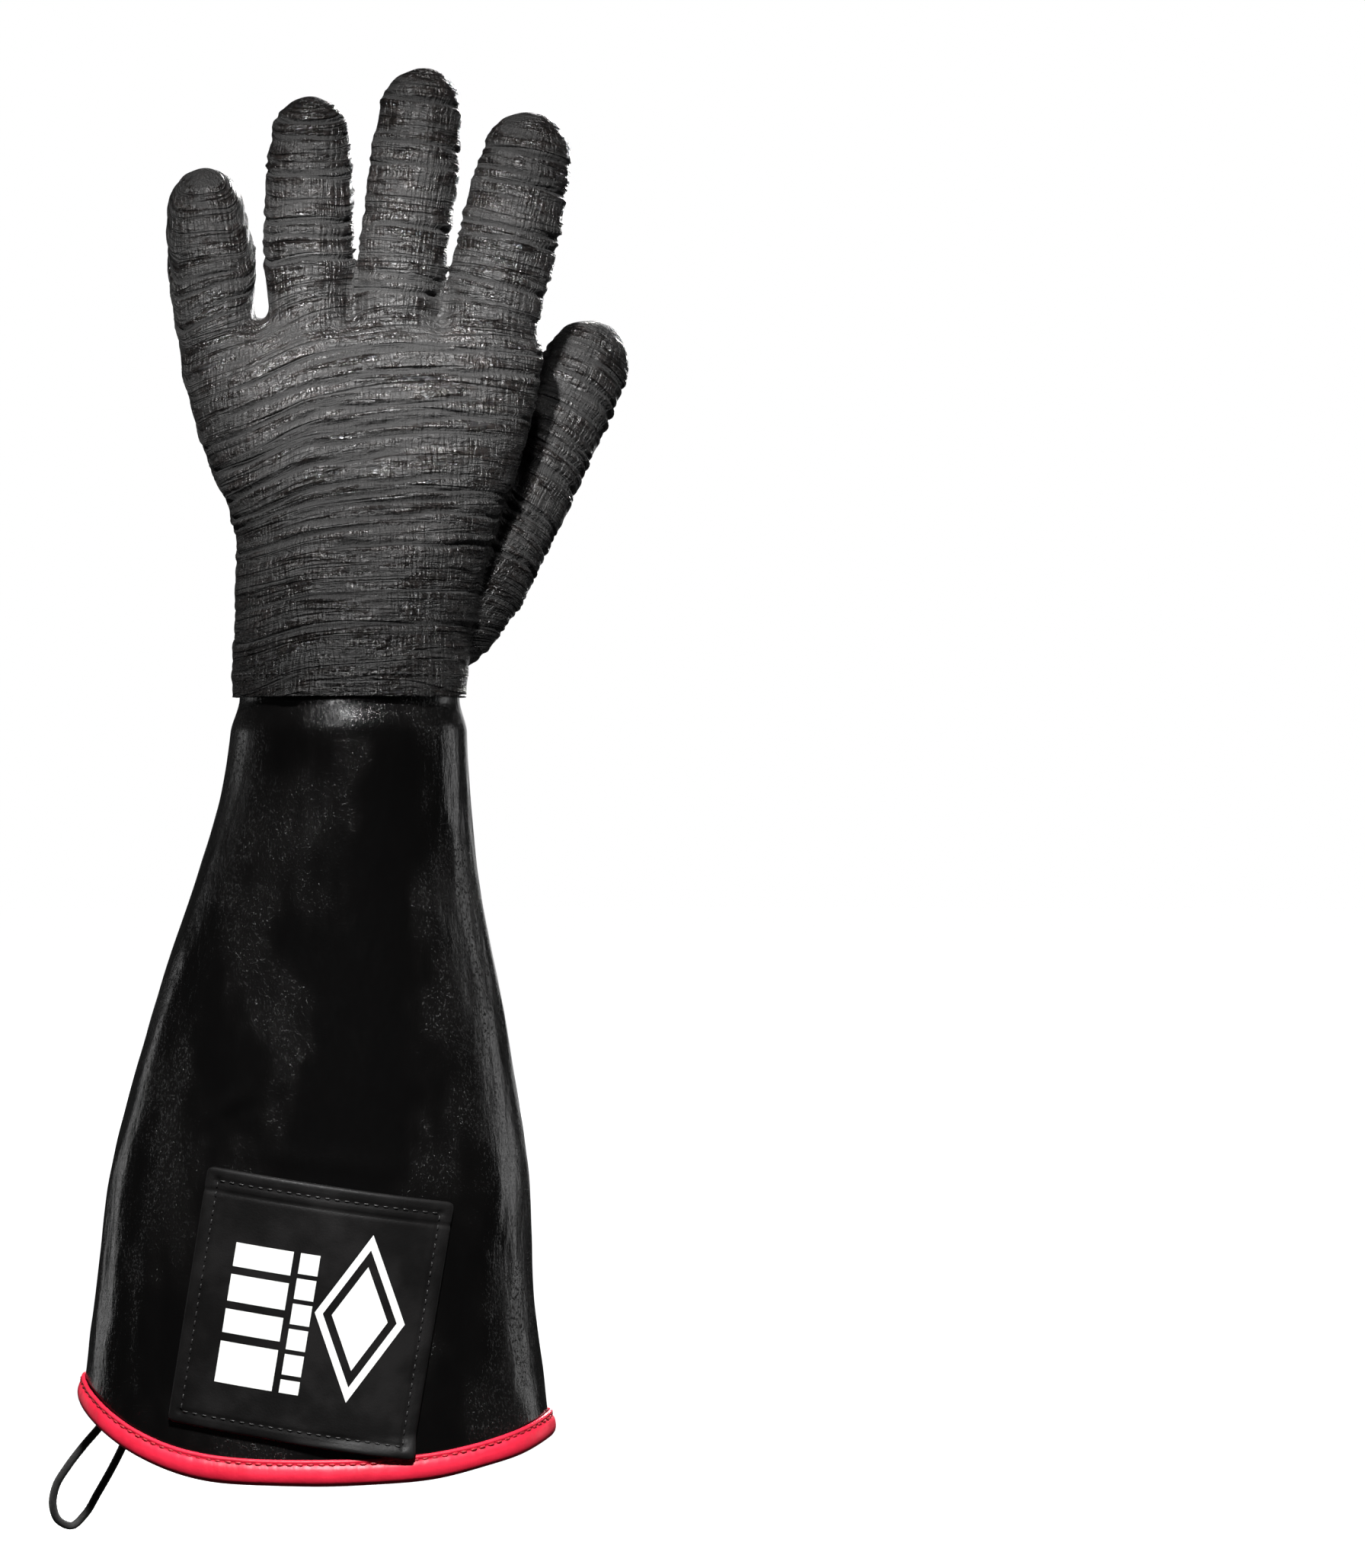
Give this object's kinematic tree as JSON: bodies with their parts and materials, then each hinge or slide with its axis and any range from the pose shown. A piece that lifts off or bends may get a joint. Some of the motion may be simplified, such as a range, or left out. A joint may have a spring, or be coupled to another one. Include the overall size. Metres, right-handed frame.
{
  "type": "heat resistant glove",
  "caption": "Long gauntlet glove with a ribbed, creased coated hand, smooth flared cuff, red bound hem, stitched cuff label and a cord hanging loop; wrist, fingers and thumb flex.",
  "frame": {"origin": "middle of the cuff opening, level with the lowest stretch of the hem", "axes": "+Z along the glove from the opening to the fingertips; +X towards the thumb side; +Y towards the palm side, so the back of the hand faces -Y"},
  "size_m": [0.1884, 0.1052, 0.4756],
  "materials": {
    "textured_neoprene": "semi-gloss crinkled and ribbed coated knit, near black with a brown cast",
    "glossy_neoprene": "smooth glossy black coating over cloth, with soft vertical folds",
    "cotton_lining": "matt brushed knit",
    "red_tape": "woven binding tape, folded over the edge",
    "red_thread": "twisted sewing thread",
    "black_thread": "twisted sewing thread",
    "rubber_patch": "soft moulded rubber, satin, with a raised double border",
    "black_cord": "round braided cord"
  },
  "bodies": {
    "cuff": {"cuff_shell": "glossy_neoprene", "cuff_lining": "cotton_lining", "wrist_shell": "textured_neoprene", "wrist_stitching": "black_thread", "hem_binding": "red_tape", "hem_stitching": "red_thread", "label_patch": "rubber_patch", "label_stitching": "black_thread", "loop_anchor_front": "black_cord", "loop_anchor_rear": "black_cord"},
    "hand": {"hand_shell": "textured_neoprene", "hand_lining": "cotton_lining"},
    "index_base": {"index_base_shell": "textured_neoprene", "index_base_lining": "cotton_lining"},
    "index_tip": {"index_tip_shell": "textured_neoprene", "index_tip_lining": "cotton_lining"},
    "middle_base": {"middle_base_shell": "textured_neoprene", "middle_base_lining": "cotton_lining"},
    "middle_tip": {"middle_tip_shell": "textured_neoprene", "middle_tip_lining": "cotton_lining"},
    "ring_base": {"ring_base_shell": "textured_neoprene", "ring_base_lining": "cotton_lining"},
    "ring_tip": {"ring_tip_shell": "textured_neoprene", "ring_tip_lining": "cotton_lining"},
    "little_base": {"little_base_shell": "textured_neoprene", "little_base_lining": "cotton_lining"},
    "little_tip": {"little_tip_shell": "textured_neoprene", "little_tip_lining": "cotton_lining"},
    "thumb_base": {"thumb_base_shell": "textured_neoprene", "thumb_base_lining": "cotton_lining"},
    "thumb_tip": {"thumb_tip_shell": "textured_neoprene", "thumb_tip_lining": "cotton_lining"},
    "loop": {"hanging_loop": "black_cord"}
  },
  "joints": [
    {"name": "wrist_flex", "type": "hinge", "parent": "cuff", "child": "hand", "pos_m": [0, 0, 0.268], "axis": [-1, 0, 0], "range_deg": [-25, 35], "stiffness_Nm_per_rad": 1.5},
    {"name": "index_base_flex", "type": "hinge", "parent": "hand", "child": "index_base", "pos_m": [0.05937, 0.00761, 0.38184], "axis": [-0.994, 0, 0.1097], "range_deg": [-10, 60], "stiffness_Nm_per_rad": 0.12},
    {"name": "index_tip_flex", "type": "hinge", "parent": "index_base", "child": "index_tip", "pos_m": [0.06526, 0.00894, 0.40819], "axis": [-0.994, 0, 0.1097], "range_deg": [0, 60], "stiffness_Nm_per_rad": 0.08},
    {"name": "middle_base_flex", "type": "hinge", "parent": "hand", "child": "middle_base", "pos_m": [0.0276, 0.00761, 0.38267], "axis": [-0.9983, 0, 0.0584], "range_deg": [-10, 60], "stiffness_Nm_per_rad": 0.12},
    {"name": "middle_tip_flex", "type": "hinge", "parent": "middle_base", "child": "middle_tip", "pos_m": [0.03145, 0.00959, 0.41545], "axis": [-0.9983, 0, 0.0584], "range_deg": [0, 60], "stiffness_Nm_per_rad": 0.08},
    {"name": "ring_base_flex", "type": "hinge", "parent": "hand", "child": "ring_base", "pos_m": [-0.002, 0.00755, 0.382], "axis": [-1, 0, 0], "range_deg": [-10, 60], "stiffness_Nm_per_rad": 0.12},
    {"name": "ring_tip_flex", "type": "hinge", "parent": "ring_base", "child": "ring_tip", "pos_m": [-0.002, 0.00904, 0.411], "axis": [-1, 0, 0], "range_deg": [0, 60], "stiffness_Nm_per_rad": 0.08},
    {"name": "little_base_flex", "type": "hinge", "parent": "hand", "child": "little_base", "pos_m": [-0.03265, 0.00642, 0.37977], "axis": [-0.9987, 0, -0.0506], "range_deg": [-10, 60], "stiffness_Nm_per_rad": 0.12},
    {"name": "little_tip_flex", "type": "hinge", "parent": "little_base", "child": "little_tip", "pos_m": [-0.03447, 0.00678, 0.39768], "axis": [-0.9987, 0, -0.0506], "range_deg": [0, 60], "stiffness_Nm_per_rad": 0.08},
    {"name": "thumb_base_flex", "type": "hinge", "parent": "hand", "child": "thumb_base", "pos_m": [0.06673, 0.03322, 0.32567], "axis": [-0.523, -0.7098, 0.4719], "range_deg": [-10, 40], "stiffness_Nm_per_rad": 0.12},
    {"name": "thumb_tip_flex", "type": "hinge", "parent": "thumb_base", "child": "thumb_tip", "pos_m": [0.07821, 0.03968, 0.34811], "axis": [-0.523, -0.7098, 0.4719], "range_deg": [0, 50], "stiffness_Nm_per_rad": 0.08},
    {"name": "loop_swing", "type": "hinge", "parent": "cuff", "child": "loop", "pos_m": [-0.0627, 0.01075, 0.0186], "axis": [0.3853, 0.8776, -0.2854], "range_deg": [-60, 45]}
  ]
}
